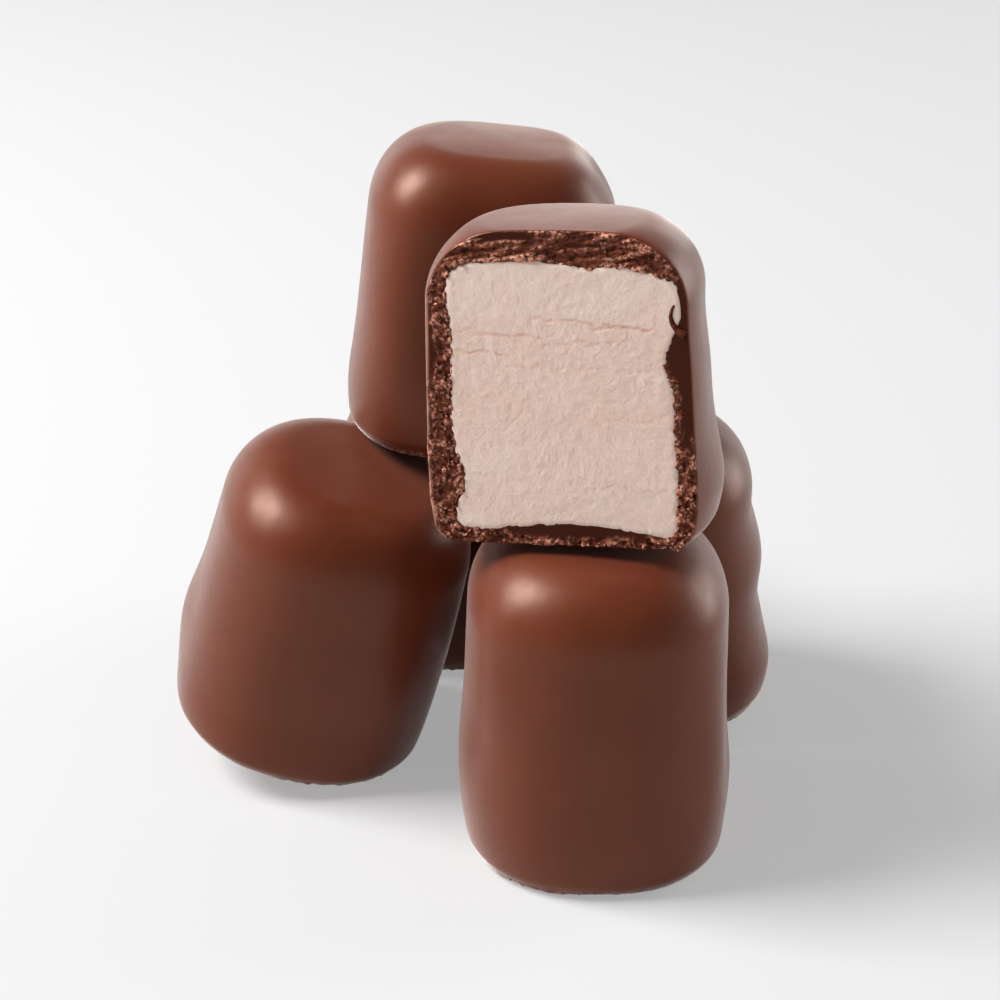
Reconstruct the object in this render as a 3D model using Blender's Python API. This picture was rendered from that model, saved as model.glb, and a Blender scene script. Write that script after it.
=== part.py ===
"""A small stack of chocolate-coated marshmallows: four stand below, two stand on top, and one is cut open.

Metres, +Z up, the camera side is -Y. The origin is at the bottom centre of the stack's bounding box.
"""

import math
from dataclasses import dataclass, field

import bmesh
import bpy
from mathutils import Matrix, Vector

MM = 0.001

# One coated marshmallow: a rounded-square barrel with a flat foot and a soft round shoulder.
HALF_WIDTH = 16.5 * MM
HEIGHT = 38.3 * MM
SQUARENESS = 2.4  # exponent of the cross-section: 2 is a circle, more is squarer
TAPER = 0.08  # share of the width lost between foot and top
FOOT_ROUND = 2.2 * MM
FOOT_TUCK = 1.1 * MM  # how far the side draws in just above the foot
FOOT_TUCK_HEIGHT = 4.5 * MM
SHOULDER_ROUND = 7.5 * MM
CROWN = 1.2 * MM  # the top and the shoulder bulge by this much in the middle

# The chocolate coat round the filling of the cut piece.
COAT_SIDE = 2.6 * MM
COAT_TOP = 3.4 * MM
COAT_FOOT = 1.0 * MM
FILLING_ARCH = 1.2 * MM  # the filling's underside is hollow by this much in its middle
FILLING_SHOULDER = 3.6 * MM
FILLING_FOOT_ROUND = 1.4 * MM
CUT_FORWARD = 6.7 * MM  # the knife passed this far in front of the middle
CLEARANCE = 0.3 * MM  # between the filling and its coat

# Steps of the faceted surfaces.
STEPS_ROUND = 36
STEPS_SHOULDER = 6
STEPS_FOOT = 3
STEPS_SIDE = 9
STEPS_CROWN = 3

CHOCOLATE = ("milk_chocolate", (0.168, 0.060, 0.034), 0.38)
FILLING = ("marshmallow", (0.62, 0.46, 0.40), 0.85)


@dataclass
class Lump:
    """A place where the coat ran thick or thin: a push of the side outwards, or inwards where it is negative."""

    around: float  # degrees from the piece's +X, anticlockwise
    height: float
    push: float
    spread: float = 25.0  # degrees
    reach: float = 5.0 * MM


@dataclass
class Piece:
    """The size, place and uneven places of one marshmallow."""

    name: str
    place: tuple
    half_width: float = HALF_WIDTH
    half_depth: float = HALF_WIDTH
    height: float = HEIGHT
    turn: float = 0.0  # degrees about its own axis
    lean_forward: float = 0.0  # degrees towards -Y
    lean_right: float = 0.0  # degrees towards +X
    lumps: list = field(default_factory=list)


PIECES = [
    Piece(
        "front_right_marshmallow",
        place=(11.5 * MM, -15.0 * MM, 0.0),
        half_depth=17.4 * MM,
        height=39.7 * MM,
        lumps=[
            Lump(around=-36, height=17 * MM, push=0.5 * MM, spread=13, reach=11 * MM),
            Lump(around=-16, height=19 * MM, push=-0.35 * MM, spread=12, reach=10 * MM),
            Lump(around=2, height=9 * MM, push=0.5 * MM, spread=24, reach=5 * MM),
            Lump(around=175, height=10 * MM, push=0.6 * MM, spread=40, reach=8 * MM),
        ],
    ),
    Piece(
        "front_left_marshmallow",
        place=(-26.9 * MM, 7.8 * MM, 0.0),
        half_width=16.9 * MM,
        half_depth=17.3 * MM,
        turn=5.0,
        lean_forward=7.6,
        lean_right=15.0,
        lumps=[
            Lump(around=168, height=10.5 * MM, push=0.9 * MM, spread=18, reach=6 * MM),
            Lump(around=-95, height=1.5 * MM, push=1.2 * MM, spread=50, reach=5 * MM),
            Lump(around=-28, height=18 * MM, push=0.6 * MM, spread=12, reach=14 * MM),
        ],
    ),
    Piece(
        "back_right_marshmallow",
        place=(20.3 * MM, 18.4 * MM, 0.0),
        half_width=16.0 * MM,
        half_depth=16.6 * MM,
        height=38.9 * MM,
        lean_right=-4.2,
        lumps=[
            Lump(around=-8, height=5 * MM, push=0.9 * MM, spread=40, reach=4 * MM),
            Lump(around=-5, height=15 * MM, push=-0.4 * MM, spread=30, reach=3 * MM),
            Lump(around=-15, height=21 * MM, push=0.5 * MM, spread=30, reach=3.5 * MM),
            Lump(around=-5, height=27.5 * MM, push=-0.5 * MM, spread=26, reach=2.5 * MM),
        ],
    ),
    Piece(
        "back_left_marshmallow",
        place=(-8.4 * MM, 37.8 * MM, 0.0),
        half_width=16.0 * MM,
        half_depth=16.2 * MM,
        height=36.6 * MM,
        lumps=[
            Lump(around=70, height=9 * MM, push=0.5 * MM, spread=35, reach=6 * MM),
            Lump(around=120, height=22 * MM, push=-0.4 * MM, spread=30, reach=8 * MM),
        ],
    ),
    Piece(
        "back_top_marshmallow",
        place=(-3.5 * MM, 16.5 * MM, 40.7 * MM),
        half_depth=15.0 * MM,
        height=37.9 * MM,
        lean_forward=-1.2,
        lean_right=5.3,
        lumps=[
            Lump(around=178, height=5 * MM, push=0.5 * MM, spread=22, reach=6 * MM),
            Lump(around=-128, height=18 * MM, push=0.5 * MM, spread=20, reach=12 * MM),
            Lump(around=-90, height=21 * MM, push=-0.5 * MM, spread=26, reach=9 * MM),
            Lump(around=0, height=35 * MM, push=-1.2 * MM, spread=50, reach=4 * MM),
        ],
    ),
]

CUT_PIECE = Piece(
    "cut_marshmallow",
    place=(8.6 * MM, -14.6 * MM, 41.2 * MM),
    half_width=16.8 * MM,
    half_depth=15.4 * MM,
    height=36.9 * MM,
    turn=-12.3,
    lean_forward=-6.2,
    lean_right=-2.2,
    lumps=[
        Lump(around=10, height=6 * MM, push=1.2 * MM, spread=24, reach=6 * MM),
        Lump(around=8, height=26 * MM, push=-0.4 * MM, spread=24, reach=4 * MM),
    ],
)


def clear_scene():
    """Remove everything that Blender starts with."""
    for item in list(bpy.data.objects):
        bpy.data.objects.remove(item)


def material(name, colour, roughness):
    """A plain Principled material of one colour."""
    made = bpy.data.materials.get(name) or bpy.data.materials.new(name)
    made.use_nodes = True
    shader = made.node_tree.nodes["Principled BSDF"]
    shader.inputs["Base Color"].default_value = (*colour, 1.0)
    shader.inputs["Roughness"].default_value = roughness
    return made


def quarter_arc(steps):
    """Angles of a quarter turn, both ends included."""
    return [math.pi / 2 * i / steps for i in range(steps + 1)]


def coat_profile(half_width, height):
    """Distance from the axis and height of each ring, from the foot's rim to just short of the top's middle."""
    rings = []
    for angle in quarter_arc(STEPS_FOOT):
        out = half_width - FOOT_ROUND + FOOT_ROUND * math.sin(angle)
        rings.append((out, FOOT_ROUND - FOOT_ROUND * math.cos(angle)))
    rim = height - CROWN
    side = rim - SHOULDER_ROUND - FOOT_ROUND
    for i in range(1, STEPS_SIDE + 1):
        rings.append((half_width, FOOT_ROUND + side * i / STEPS_SIDE))
    flat = half_width - SHOULDER_ROUND
    top = []
    for angle in quarter_arc(STEPS_SHOULDER)[1:]:
        top.append((flat + SHOULDER_ROUND * math.cos(angle), SHOULDER_ROUND * (1 - math.sin(angle))))
    for i in range(1, STEPS_CROWN):
        top.append((flat * (1 - i / STEPS_CROWN), 0.0))
    for out, drop in top:
        rings.append((out, rim - drop + CROWN * (1 - (out / half_width) ** 2)))
    return rings


def girth(z, height):
    """How wide the side is at height z, as a share of its full width: tapered, and tucked in at the foot."""
    tuck = FOOT_TUCK / HALF_WIDTH * math.exp(-z / FOOT_TUCK_HEIGHT)
    return 1 - TAPER * z / height - tuck


def lump_push(lumps, angle, z):
    """The sum of the lumps at this angle and height, each a smooth bell in both directions."""
    push = 0.0
    for lump in lumps:
        turn = math.remainder(math.degrees(angle) - lump.around, 360.0)
        push += lump.push * math.exp(-((turn / lump.spread) ** 2) - ((z - lump.height) / lump.reach) ** 2)
    return push


def squarish(angle, half_width, half_depth):
    """Radius of the rounded-square cross-section at this angle."""
    across = abs(math.cos(angle) / half_width) ** SQUARENESS
    along = abs(math.sin(angle) / half_depth) ** SQUARENESS
    return (across + along) ** (-1 / SQUARENESS)


def closed_mesh(name, rings, top, bottom=None):
    """A closed mesh through rings of points, with a fan to a top point and one flat face or a fan below."""
    work = bmesh.new()
    loops = [[work.verts.new(point) for point in ring] for ring in rings]
    for low, high in zip(loops, loops[1:]):
        for i, corner in enumerate(low):
            j = (i + 1) % len(low)
            work.faces.new((corner, low[j], high[j], high[i]))
    ends = [(loops[-1], top, 1)]
    if bottom is None:
        work.faces.new(reversed(loops[0]))
    else:
        ends.append((loops[0], bottom, -1))
    for loop, point, sense in ends:
        middle = work.verts.new(point)
        for i, corner in enumerate(loop):
            corners = (corner, loop[(i + 1) % len(loop)], middle)
            work.faces.new(corners[::sense])
    mesh = bpy.data.meshes.new(name)
    work.to_mesh(mesh)
    work.free()
    mesh.shade_smooth()
    return mesh


def coat_mesh(piece):
    """The outer surface of a whole piece, standing on z = 0."""
    angles = [2 * math.pi * i / STEPS_ROUND for i in range(STEPS_ROUND)]
    rings = []
    for out, z in coat_profile(piece.half_width, piece.height):
        share = out / piece.half_width
        ring = []
        for angle in angles:
            radius = squarish(angle, piece.half_width, piece.half_depth) * share * girth(z, piece.height)
            radius += lump_push(piece.lumps, angle, z) * share
            ring.append((radius * math.cos(angle), radius * math.sin(angle), z))
        rings.append(ring)
    return closed_mesh(piece.name, rings, top=(0, 0, piece.height))


def filling_mesh(piece, grown):
    """The marshmallow inside the cut piece, grown by a clearance where it is used to hollow the coat."""
    half_width = piece.half_width - COAT_SIDE + grown
    half_depth = piece.half_depth - COAT_SIDE + grown
    shoulder = FILLING_SHOULDER
    foot = FILLING_FOOT_ROUND
    low = COAT_FOOT - grown
    high = piece.height - COAT_TOP + grown
    outline = [((half_width - foot) / 2, low + FILLING_ARCH * 0.75)]
    for angle in quarter_arc(STEPS_FOOT):
        outline.append((half_width - foot + foot * math.sin(angle), low + foot - foot * math.cos(angle)))
    side = high - shoulder - low - foot
    for i in range(1, STEPS_SIDE):
        outline.append((half_width, low + foot + side * i / (STEPS_SIDE - 1)))
    for angle in quarter_arc(STEPS_SHOULDER)[1:]:
        outline.append((half_width - shoulder + shoulder * math.cos(angle), high - shoulder * (1 - math.sin(angle))))
    outline.append(((half_width - shoulder) / 2, high))
    rings = []
    for out, z in outline:
        ring = []
        for i in range(STEPS_ROUND):
            angle = 2 * math.pi * i / STEPS_ROUND
            radius = squarish(angle, half_width, half_depth) * out / half_width * (1 - TAPER * z / piece.height)
            ring.append((radius * math.cos(angle), radius * math.sin(angle), z))
        rings.append(ring)
    return closed_mesh(piece.name, rings, top=(0, 0, high), bottom=(0, 0, low + FILLING_ARCH))


def slice_off_front(mesh, distance):
    """Cut a mesh by the plane y = -distance, keep what is behind it and close the cut."""
    work = bmesh.new()
    work.from_mesh(mesh)
    everything = work.verts[:] + work.edges[:] + work.faces[:]
    cut = bmesh.ops.bisect_plane(
        work, geom=everything, dist=1e-7, plane_co=(0, -distance, 0), plane_no=(0, -1, 0), clear_outer=True
    )
    edges = [item for item in cut["geom_cut"] if isinstance(item, bmesh.types.BMEdge)]
    bmesh.ops.holes_fill(work, edges=edges)
    bmesh.ops.recalc_face_normals(work, faces=work.faces[:])
    work.to_mesh(mesh)
    work.free()


def pose(piece):
    """Where the piece stands: turned about its own axis, then leant forward, then to the right."""
    turn = Matrix.Rotation(math.radians(piece.turn), 4, "Z")
    forward = Matrix.Rotation(math.radians(piece.lean_forward), 4, "X")
    right = Matrix.Rotation(math.radians(piece.lean_right), 4, "Y")
    return Matrix.Translation(piece.place) @ right @ forward @ turn


def stand(name, mesh, finish, piece):
    """One named object of this mesh, standing where its piece does."""
    made = bpy.data.objects.new(name, mesh)
    made.data.materials.append(material(*finish))
    bpy.context.scene.collection.objects.link(made)
    made.matrix_world = pose(piece)
    return made


def lowest(made):
    """Height of the object's lowest point."""
    return min((made.matrix_world @ vertex.co).z for vertex in made.data.vertices)


def build_whole(piece):
    """An uncut marshmallow. One that stands on the table comes down to it, however it leans."""
    made = stand(piece.name, coat_mesh(piece), CHOCOLATE, piece)
    if piece.place[2] == 0:
        made.location.z -= lowest(made)
    return made


def build_cut(piece):
    """The cut marshmallow: its coat, hollowed by the filling, and the filling, both open at the cut."""
    coat_surface = coat_mesh(piece)
    slice_off_front(coat_surface, CUT_FORWARD)
    coat = stand(piece.name + "_coat", coat_surface, CHOCOLATE, piece)
    hollow = stand(piece.name + "_hollow", filling_mesh(piece, CLEARANCE), FILLING, piece)
    hollow.hide_render = True
    hollow.display_type = "WIRE"
    carve = coat.modifiers.new("hollow", "BOOLEAN")
    carve.operation = "DIFFERENCE"
    carve.object = hollow
    inside = filling_mesh(piece, 0.0)
    slice_off_front(inside, CUT_FORWARD)
    filling = stand(piece.name + "_filling", inside, FILLING, piece)
    return [coat, filling, hollow]


def centre(objects):
    """Slide the stack sideways until the origin is under the middle of its bounding box."""
    bpy.context.view_layer.update()
    points = [item.matrix_world @ vertex.co for item in objects for vertex in item.data.vertices]
    middle = [(min(p[i] for p in points) + max(p[i] for p in points)) / 2 for i in (0, 1)]
    for item in objects:
        item.location -= Vector((*middle, 0.0))


clear_scene()
stack = [build_whole(piece) for piece in PIECES]
centre(stack + build_cut(CUT_PIECE))
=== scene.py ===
"""A stack of chocolate-coated marshmallows, one of them cut open.

Each sweet is a barrel with a rounded-square section, a tucked foot and a soft shoulder, leant and
turned as it lies in the stack. Its skin is worked out as whole arrays of points, row by row, and then
moved a little along its normals, so that the coat waves, the foot is ragged and the broken chocolate is
crumbly. Sizes are in metres, and every sweet stands where its node's box does.
"""

import logging
import math
from dataclasses import dataclass, field
from enum import Enum

import bmesh
import bpy
import numpy as np
from mathutils import Matrix, Vector


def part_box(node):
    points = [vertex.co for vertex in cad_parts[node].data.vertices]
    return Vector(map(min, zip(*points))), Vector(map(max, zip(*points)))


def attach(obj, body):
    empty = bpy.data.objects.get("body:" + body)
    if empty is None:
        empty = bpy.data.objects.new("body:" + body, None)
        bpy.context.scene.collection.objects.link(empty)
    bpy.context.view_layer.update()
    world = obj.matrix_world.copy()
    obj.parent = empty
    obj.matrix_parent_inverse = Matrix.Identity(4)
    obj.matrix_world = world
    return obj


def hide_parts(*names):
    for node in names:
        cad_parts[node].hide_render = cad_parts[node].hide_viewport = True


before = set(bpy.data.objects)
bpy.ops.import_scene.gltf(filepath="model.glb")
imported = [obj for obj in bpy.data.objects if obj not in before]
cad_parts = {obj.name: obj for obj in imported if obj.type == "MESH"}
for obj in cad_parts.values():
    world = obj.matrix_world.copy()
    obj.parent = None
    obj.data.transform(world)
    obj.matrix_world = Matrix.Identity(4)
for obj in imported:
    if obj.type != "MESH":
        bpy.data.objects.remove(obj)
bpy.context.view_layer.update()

MM = 0.001
log = logging.getLogger("marshmallows")


class Slot(Enum):
    """The record's material slots."""

    CHOCOLATE = "chocolate"
    FILLING = "filling"


class Side(Enum):
    """The sides of the cut face, each with the outline normal (across, up) that faces it."""

    LEFT = (-1, 0)
    RIGHT = (1, 0)
    TOP = (0, 1)
    FOOT = (0, -1)


# ----------------------------------------------------------------------------------------------------
# Noise


def hashed(cells: np.ndarray, seed: int) -> np.ndarray:
    """Draw a repeatable random value for each lattice corner, by multiplying and folding whole numbers.

    Args:
        cells: whole-number lattice corners, shape (..., 3).
        seed: picks one of many unrelated patterns.

    Returns:
        Values from -1 to 1, shape (...).
    """
    mixed = np.full(cells.shape[:-1], seed * 668265263 + 374761393, np.uint64)
    for axis, prime in enumerate((73856093, 19349663, 83492791)):
        mixed ^= cells[..., axis].astype(np.int64).astype(np.uint64) * np.uint64(prime)
        mixed = (mixed ^ (mixed >> np.uint64(29))) * np.uint64(0xBF58476D1CE4E5B9)
        mixed ^= mixed >> np.uint64(32)
    return (mixed & np.uint64(0xFFFFFF)).astype(float) / 0x7FFFFF - 1.0


def noise(points: np.ndarray, grain: float | tuple[float, float, float], seed: int) -> np.ndarray:
    """Smooth noise: random values at the corners of a lattice, blended inside each cell by a smooth step.

    Args:
        points: places, shape (..., 3).
        grain: the lattice's cell, in metres, the same each way or one size for each axis.
        seed: picks the pattern.

    Returns:
        Values from -1 to 1, shape (...).
    """
    cell = points / np.asarray(grain)
    base = np.floor(cell)
    part = cell - base
    ease = part * part * (3.0 - 2.0 * part)
    total = np.zeros(points.shape[:-1])
    for corner in np.ndindex(2, 2, 2):
        weight = np.prod(np.where(np.array(corner), ease, 1.0 - ease), axis=-1)
        total += weight * hashed(base + corner, seed)
    return total


def layered(points: np.ndarray, grain: float, seed: int, layers: int = 3) -> np.ndarray:
    """Noise summed over layers, each half as coarse and half as strong as the one before."""
    return sum(noise(points, grain / 2**i, seed + i) / 2**i for i in range(layers))


def bell(distance: np.ndarray) -> np.ndarray:
    """A bell curve: 1 in the middle, 0.37 at a distance of 1, next to nothing at 2."""
    return np.exp(-(distance**2))


def ramp(value: np.ndarray, low: float, high: float) -> np.ndarray:
    """A smooth step from 0 at low to 1 at high. High may be the smaller of the two."""
    share = np.clip((value - low) / (high - low), 0.0, 1.0)
    return share * share * (3.0 - 2.0 * share)


# ----------------------------------------------------------------------------------------------------
# Meshes


@dataclass
class Skin:
    """A closed skin of rows of points, each row a ring, with one point closing each end."""

    rows: np.ndarray  # shape (rows, columns, 3)
    start: np.ndarray
    end: np.ndarray
    finishes: np.ndarray | None = None  # for each band between two rows, the number of its finish
    tones: dict[str, np.ndarray] = field(default_factory=dict)  # named values, shape (rows, columns)

    def faces(self) -> tuple[list, np.ndarray]:
        """List the faces: a fan at each end, and a band of four-sided faces between each two rows.

        Returns:
            The faces as lists of point numbers, and each one's finish number.
        """
        count, columns = self.rows.shape[:2]
        ring = np.arange(columns)
        following = (ring + 1) % columns
        low = np.arange(count - 1)[:, None] * columns
        quads = np.stack([low + ring, low + following, low + columns + following, low + columns + ring], -1)
        last = (count - 1) * columns
        first_fan = np.stack([following, ring, np.full(columns, count * columns)], -1)
        last_fan = np.stack([last + ring, last + following, np.full(columns, count * columns + 1)], -1)
        bands = np.zeros(count - 1, int) if self.finishes is None else self.finishes
        numbers = [np.repeat(bands, columns), np.repeat(bands[:1], columns), np.repeat(bands[-1:], columns)]
        return quads.reshape(-1, 4).tolist() + first_fan.tolist() + last_fan.tolist(), np.concatenate(numbers)

    def points(self) -> np.ndarray:
        """All points: the rows' and then the two ends'."""
        return np.concatenate([self.rows.reshape(-1, 3), self.start[None], self.end[None]])

    def spread(self, values: np.ndarray) -> np.ndarray:
        """Give the ends the mean of the ring next to them, so that a value per row point is one per point."""
        return np.concatenate([values.reshape(-1), [values[0].mean()], [values[-1].mean()]])

    def mesh(self, name: str, shift: np.ndarray | None = None) -> bpy.types.Mesh:
        """Make the mesh, and move each point along its normal.

        Args:
            name: the mesh's name.
            shift: how far to move each row point, shape (rows, columns), or None to leave them.

        Returns:
            A smooth-shaded mesh with its tones as attributes.
        """
        made = bpy.data.meshes.new(name)
        listed, numbers = self.faces()
        made.from_pydata(self.points().tolist(), [], listed)
        made.polygons.foreach_set("material_index", numbers.astype(np.int32))
        made.shade_smooth()
        if shift is not None:
            normals = np.zeros(len(made.vertices) * 3, np.float32)
            made.vertex_normals.foreach_get("vector", normals)
            moved = self.points() + normals.reshape(-1, 3) * self.spread(shift)[:, None]
            made.vertices.foreach_set("co", moved.astype(np.float32).ravel())
        for tone, values in self.tones.items():
            attribute = made.attributes.new(tone, "FLOAT", "POINT")
            attribute.data.foreach_set("value", self.spread(values).astype(np.float32))
        made.update()
        return made


def link(mesh: bpy.types.Mesh, finishes: list[bpy.types.Material]) -> bpy.types.Object:
    """Make the mesh a piece of the stack, at the origin, with its finishes."""
    made = bpy.data.objects.new(mesh.name, mesh)
    for finish in finishes:
        mesh.materials.append(finish)
    bpy.context.scene.collection.objects.link(made)
    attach(made, "root")
    return made


# ----------------------------------------------------------------------------------------------------
# The form of a sweet


@dataclass(frozen=True)
class Lump:
    """A place where the coat ran thick, or thin where the push is negative: a bell in both ways."""

    around: float  # degrees from the sweet's +X, anticlockwise
    height: float
    push: float
    spread: float = 25.0  # degrees
    reach: float = 5.0 * MM

    def at(self, angle: np.ndarray, z: np.ndarray) -> np.ndarray:
        """The push outwards at each angle and height."""
        turn = (np.degrees(angle) - self.around + 180.0) % 360.0 - 180.0
        return self.push * bell(turn / self.spread) * bell((z - self.height) / self.reach)


@dataclass(frozen=True)
class Form:
    """The form of one coated sweet, standing on its foot, before it leans."""

    half_width: float = 16.5 * MM
    half_depth: float = 16.5 * MM
    height: float = 38.3 * MM
    turn: float = 0.0
    lean_forward: float = 0.0
    lean_right: float = 0.0
    squareness: float = 2.4
    taper: float = 0.08
    foot_round: float = 2.2 * MM
    foot_tuck: float = 1.1 * MM
    foot_tuck_height: float = 4.5 * MM
    shoulder_round: float = 7.5 * MM
    crown: float = 1.2 * MM
    dish: float = 0.5 * MM
    lumps: tuple[Lump, ...] = ()

    def outline(self) -> np.ndarray:
        """Half a lengthwise section: a quarter circle, a straight side and a shoulder under a low dome.

        Returns:
            Distance from the axis and height, shape (points, 2), from the foot to the middle of the top.
        """
        arc = np.linspace(0.0, np.pi / 2, 60)
        rim = self.height - self.crown
        flat = self.half_width - self.shoulder_round
        tuck = self.foot_round * (1.0 - np.sin(arc))
        foot = [self.half_width - tuck, self.foot_round * (1.0 - np.cos(arc))]
        out = np.concatenate([flat + self.shoulder_round * np.cos(arc), np.linspace(flat, 0.0, 60)[1:]])
        over = np.clip(1.0 - ((out - flat) / self.shoulder_round) ** 2, 0.0, 1.0)
        up = np.where(out > flat, rim - self.shoulder_round * (1.0 - np.sqrt(over)), rim)
        top = [out, up + self.crown * (1.0 - (out / self.half_width) ** 2)]
        return np.concatenate([np.stack(part, -1) for part in (foot, top)])

    def radius(self, angle: np.ndarray, z: np.ndarray, share: np.ndarray | None = None) -> np.ndarray:
        """Distance from the axis to the coat: a squarish section, tapered, tucked in at the foot.

        Args:
            angle: radians about the axis.
            z: height over the foot.
            share: how much of its full girth the section has there; worked out from the height if left out.

        Returns:
            Radii, broadcast over the arguments.
        """
        if share is None:
            out, up = self.outline().T
            share = np.interp(z, up, out) / self.half_width
        across = np.abs(np.cos(angle) / self.half_width) ** self.squareness
        along = np.abs(np.sin(angle) / self.half_depth) ** self.squareness
        section = (across + along) ** (-1.0 / self.squareness)
        tuck = self.foot_tuck / Form.half_width * np.exp(-z / self.foot_tuck_height)
        lumps = sum((lump.at(angle, z) for lump in self.lumps), np.zeros(np.broadcast(angle, z).shape))
        return (section * (1.0 - self.taper * z / self.height - tuck) + lumps) * share

    def holds(self, points: np.ndarray) -> np.ndarray:
        """Whether each point, shape (..., 3), lies inside the coat's outer surface."""
        x, y, z = np.moveaxis(points, -1, 0)
        inside = np.hypot(x, y) < self.radius(np.arctan2(y, x), np.clip(z, 0.0, self.height))
        return inside & (z > 0.0) & (z < self.height)

    def whole(self, columns: int, rows: int) -> Skin:
        """The skin of an uncut sweet: rings from the middle of its dished underside, up its side, to its top.

        Args:
            columns: points in a ring.
            rows: rings between the foot's rim and the middle of the top, closest together at the foot.

        Returns:
            The skin, standing on z = 0.
        """
        outline = self.outline()
        along = np.linspace(0.0, 1.0, 3000)
        knots = np.linspace(0.0, 1.0, len(outline))
        fine = np.stack([np.interp(along, knots, c) for c in outline.T], -1)
        part = np.linalg.norm(np.diff(fine, axis=0), axis=1) * (1.0 + 3.0 * bell(fine[1:, 1] / (1.5 * MM)))
        length = np.concatenate([[0.0], np.cumsum(part)])
        steps = np.linspace(0.0, length[-1], rows + 1)[:-1]
        out, z = (np.interp(steps, length, column) for column in fine.T)
        under = np.linspace(0.0, 1.0, rows // 6)[1:-1]
        out = np.concatenate([under * outline[0, 0], out])
        z = np.concatenate([self.dish * (1.0 - under**2), z])
        angle = np.linspace(0.0, 2.0 * np.pi, columns, endpoint=False)
        radius = self.radius(angle[None, :], np.clip(z, 0.0, None)[:, None], (out / self.half_width)[:, None])
        level = np.broadcast_to(z[:, None], radius.shape)
        grid = np.stack([radius * np.cos(angle), radius * np.sin(angle), level], -1)
        return Skin(grid, np.array([0.0, 0.0, self.dish]), np.array([0.0, 0.0, self.height]))

    def lean(self) -> np.ndarray:
        """Turn about its own axis, then lean forward, then lean to the right: a 3 by 3 matrix."""
        turn = Matrix.Rotation(math.radians(self.turn), 3, "Z")
        forward = Matrix.Rotation(math.radians(self.lean_forward), 3, "X")
        right = Matrix.Rotation(math.radians(self.lean_right), 3, "Y")
        return np.array(right @ forward @ turn)


def stand_in_box(points: np.ndarray, node: str) -> np.ndarray:
    """The shift that brings leant points over the middle of their node's box, standing on its foot."""
    low, high = (np.array(corner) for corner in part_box(node))
    flat = points.reshape(-1, 3)
    shift = (low + high) / 2.0 - (flat.min(0) + flat.max(0)) / 2.0
    shift[2] = low[2] - flat[:, 2].min()
    return shift


# ----------------------------------------------------------------------------------------------------
# Finishes


class Nodes:
    """A material's node tree, with short ways to add the nodes that the finishes use."""

    def __init__(self, name: str) -> None:
        """Start a material with its Principled shader."""
        self.material = bpy.data.materials.new(name)
        self.material.use_nodes = True
        self.tree = self.material.node_tree
        self.shader = self.tree.nodes["Principled BSDF"]

    def add(self, kind: str, inputs: dict | None = None, **settings: object) -> bpy.types.Node:
        """Add a node.

        Args:
            kind: the node's type.
            inputs: values or sockets for its inputs, by name or number.
            settings: its properties.

        Returns:
            The node.
        """
        node = self.tree.nodes.new(kind)
        for name, value in settings.items():
            setattr(node, name, value)
        for name, value in (inputs or {}).items():
            self.feed(node.inputs[name], value)
        return node

    def feed(self, socket: bpy.types.NodeSocket, value: object) -> None:
        """Link a socket to the input, or set the input's value."""
        if isinstance(value, bpy.types.NodeSocket):
            self.tree.links.new(value, socket)
        else:
            socket.default_value = value

    def place(self) -> bpy.types.NodeSocket:
        """The point's place in metres."""
        return self.add("ShaderNodeTexCoord").outputs["Object"]

    def grain(
        self, size: float, detail: float = 2.0, where: bpy.types.NodeSocket | None = None
    ) -> bpy.types.NodeSocket:
        """Noise from 0 to 1 whose waves are about this long, in metres."""
        inputs = {"Vector": where or self.place(), "Scale": 1.0 / size, "Detail": detail, "Roughness": 0.55}
        return self.add("ShaderNodeTexNoise", inputs).outputs["Fac"]

    def fit(
        self, value: bpy.types.NodeSocket, old: tuple[float, float], new: tuple[float, float]
    ) -> bpy.types.NodeSocket:
        """Map a value from the old range to the new one, held at its ends."""
        inputs = {"Value": value, "From Min": old[0], "From Max": old[1], "To Min": new[0], "To Max": new[1]}
        return self.add("ShaderNodeMapRange", inputs).outputs["Result"]

    def sum(self, kind: str, first: object, second: object) -> bpy.types.NodeSocket:
        """A sum of the kind that the Math node names."""
        return self.add("ShaderNodeMath", {0: first, 1: second}, operation=kind).outputs[0]

    def mix(self, share: object, first: object, second: object) -> bpy.types.NodeSocket:
        """Blend two colours."""
        node = self.add("ShaderNodeMix", data_type="RGBA")
        for name, value in (("Factor_Float", share), ("A_Color", first), ("B_Color", second)):
            socket = next(item for item in node.inputs if item.identifier == name)
            self.feed(socket, (*value, 1.0) if isinstance(value, tuple) else value)
        return next(item for item in node.outputs if item.identifier == "Result_Color")

    def tone(self, name: str) -> bpy.types.NodeSocket:
        """A value that the mesh carries at each point."""
        return self.add("ShaderNodeAttribute", attribute_name=name).outputs["Fac"]

    def bump(self, height: bpy.types.NodeSocket, depth: float, under: object = None) -> bpy.types.NodeSocket:
        """A bump of this depth in metres, over another bump if there is one."""
        inputs = {"Height": height, "Strength": 1.0, "Distance": depth}
        if under is not None:
            inputs["Normal"] = under
        return self.add("ShaderNodeBump", inputs).outputs["Normal"]

    def set(self, **values: object) -> None:
        """Set the shader's inputs. A name's underscores stand for spaces."""
        for name, value in values.items():
            self.feed(self.shader.inputs[name.replace("_", " ")], value)


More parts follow.
